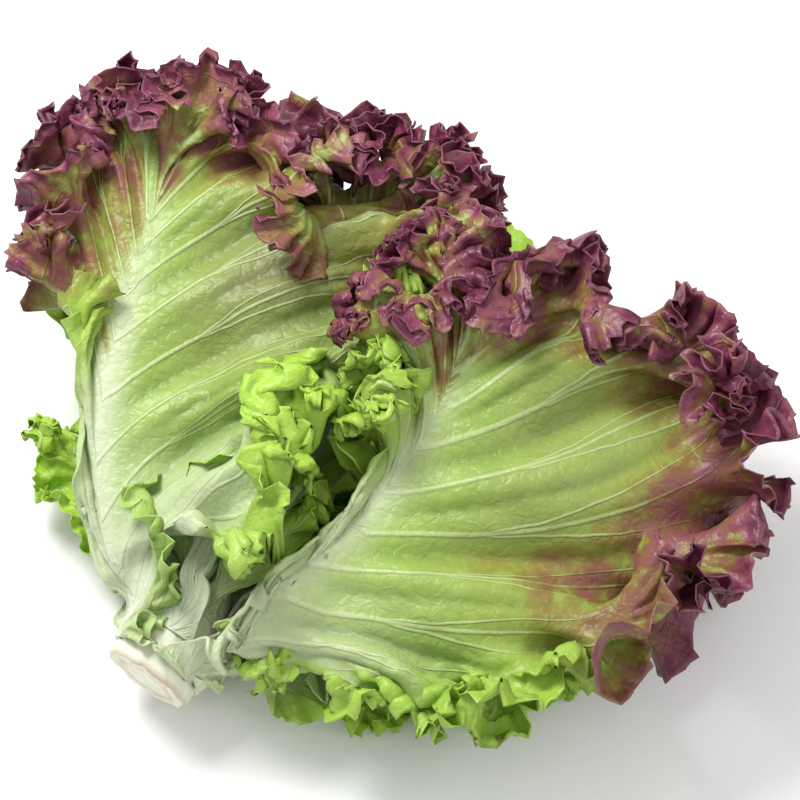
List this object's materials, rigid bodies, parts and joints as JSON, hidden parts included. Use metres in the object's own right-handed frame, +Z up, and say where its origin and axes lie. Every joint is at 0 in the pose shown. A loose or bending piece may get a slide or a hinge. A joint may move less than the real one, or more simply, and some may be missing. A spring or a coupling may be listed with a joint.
{
  "type": "red leaf lettuce head",
  "caption": "Cut head of frilly red leaf lettuce lying on its side: broad waved green leaves with wine-red frilled tips fan out from a short pale stem.",
  "frame": {"origin": "on the surface that the head lies on, under the middle of its bounding box", "axes": "+Z up from the surface; the cut stem points towards -X and -Y, and the leaves fan out towards +X and +Y"},
  "size_m": [0.3052, 0.2898, 0.1024],
  "materials": {
    "stem": "pale, moist cut stem",
    "pale_leaf": "fresh pale green leaf, softly glossy",
    "green_leaf": "fresh green leaf, softly glossy",
    "red_tipped_leaf": "fresh green leaf with a wine-red frill, softly glossy"
  },
  "bodies": {
    "root": {"stem": "stem", "leaf_inner_left": "green_leaf", "leaf_inner_right": "green_leaf", "leaf_low_right": "green_leaf", "leaf_left_second": "green_leaf", "leaf_right_second": "green_leaf", "leaf_heart_centre": "green_leaf", "leaf_under_centre": "pale_leaf", "leaf_under_left": "pale_leaf", "leaf_under_right": "pale_leaf", "leaf_small_left": "pale_leaf", "leaf_heart_left": "pale_leaf", "leaf_heart_right": "pale_leaf", "leaf_centre": "red_tipped_leaf", "leaf_left_outer": "red_tipped_leaf", "leaf_right_outer": "red_tipped_leaf"}
  },
  "joints": []
}
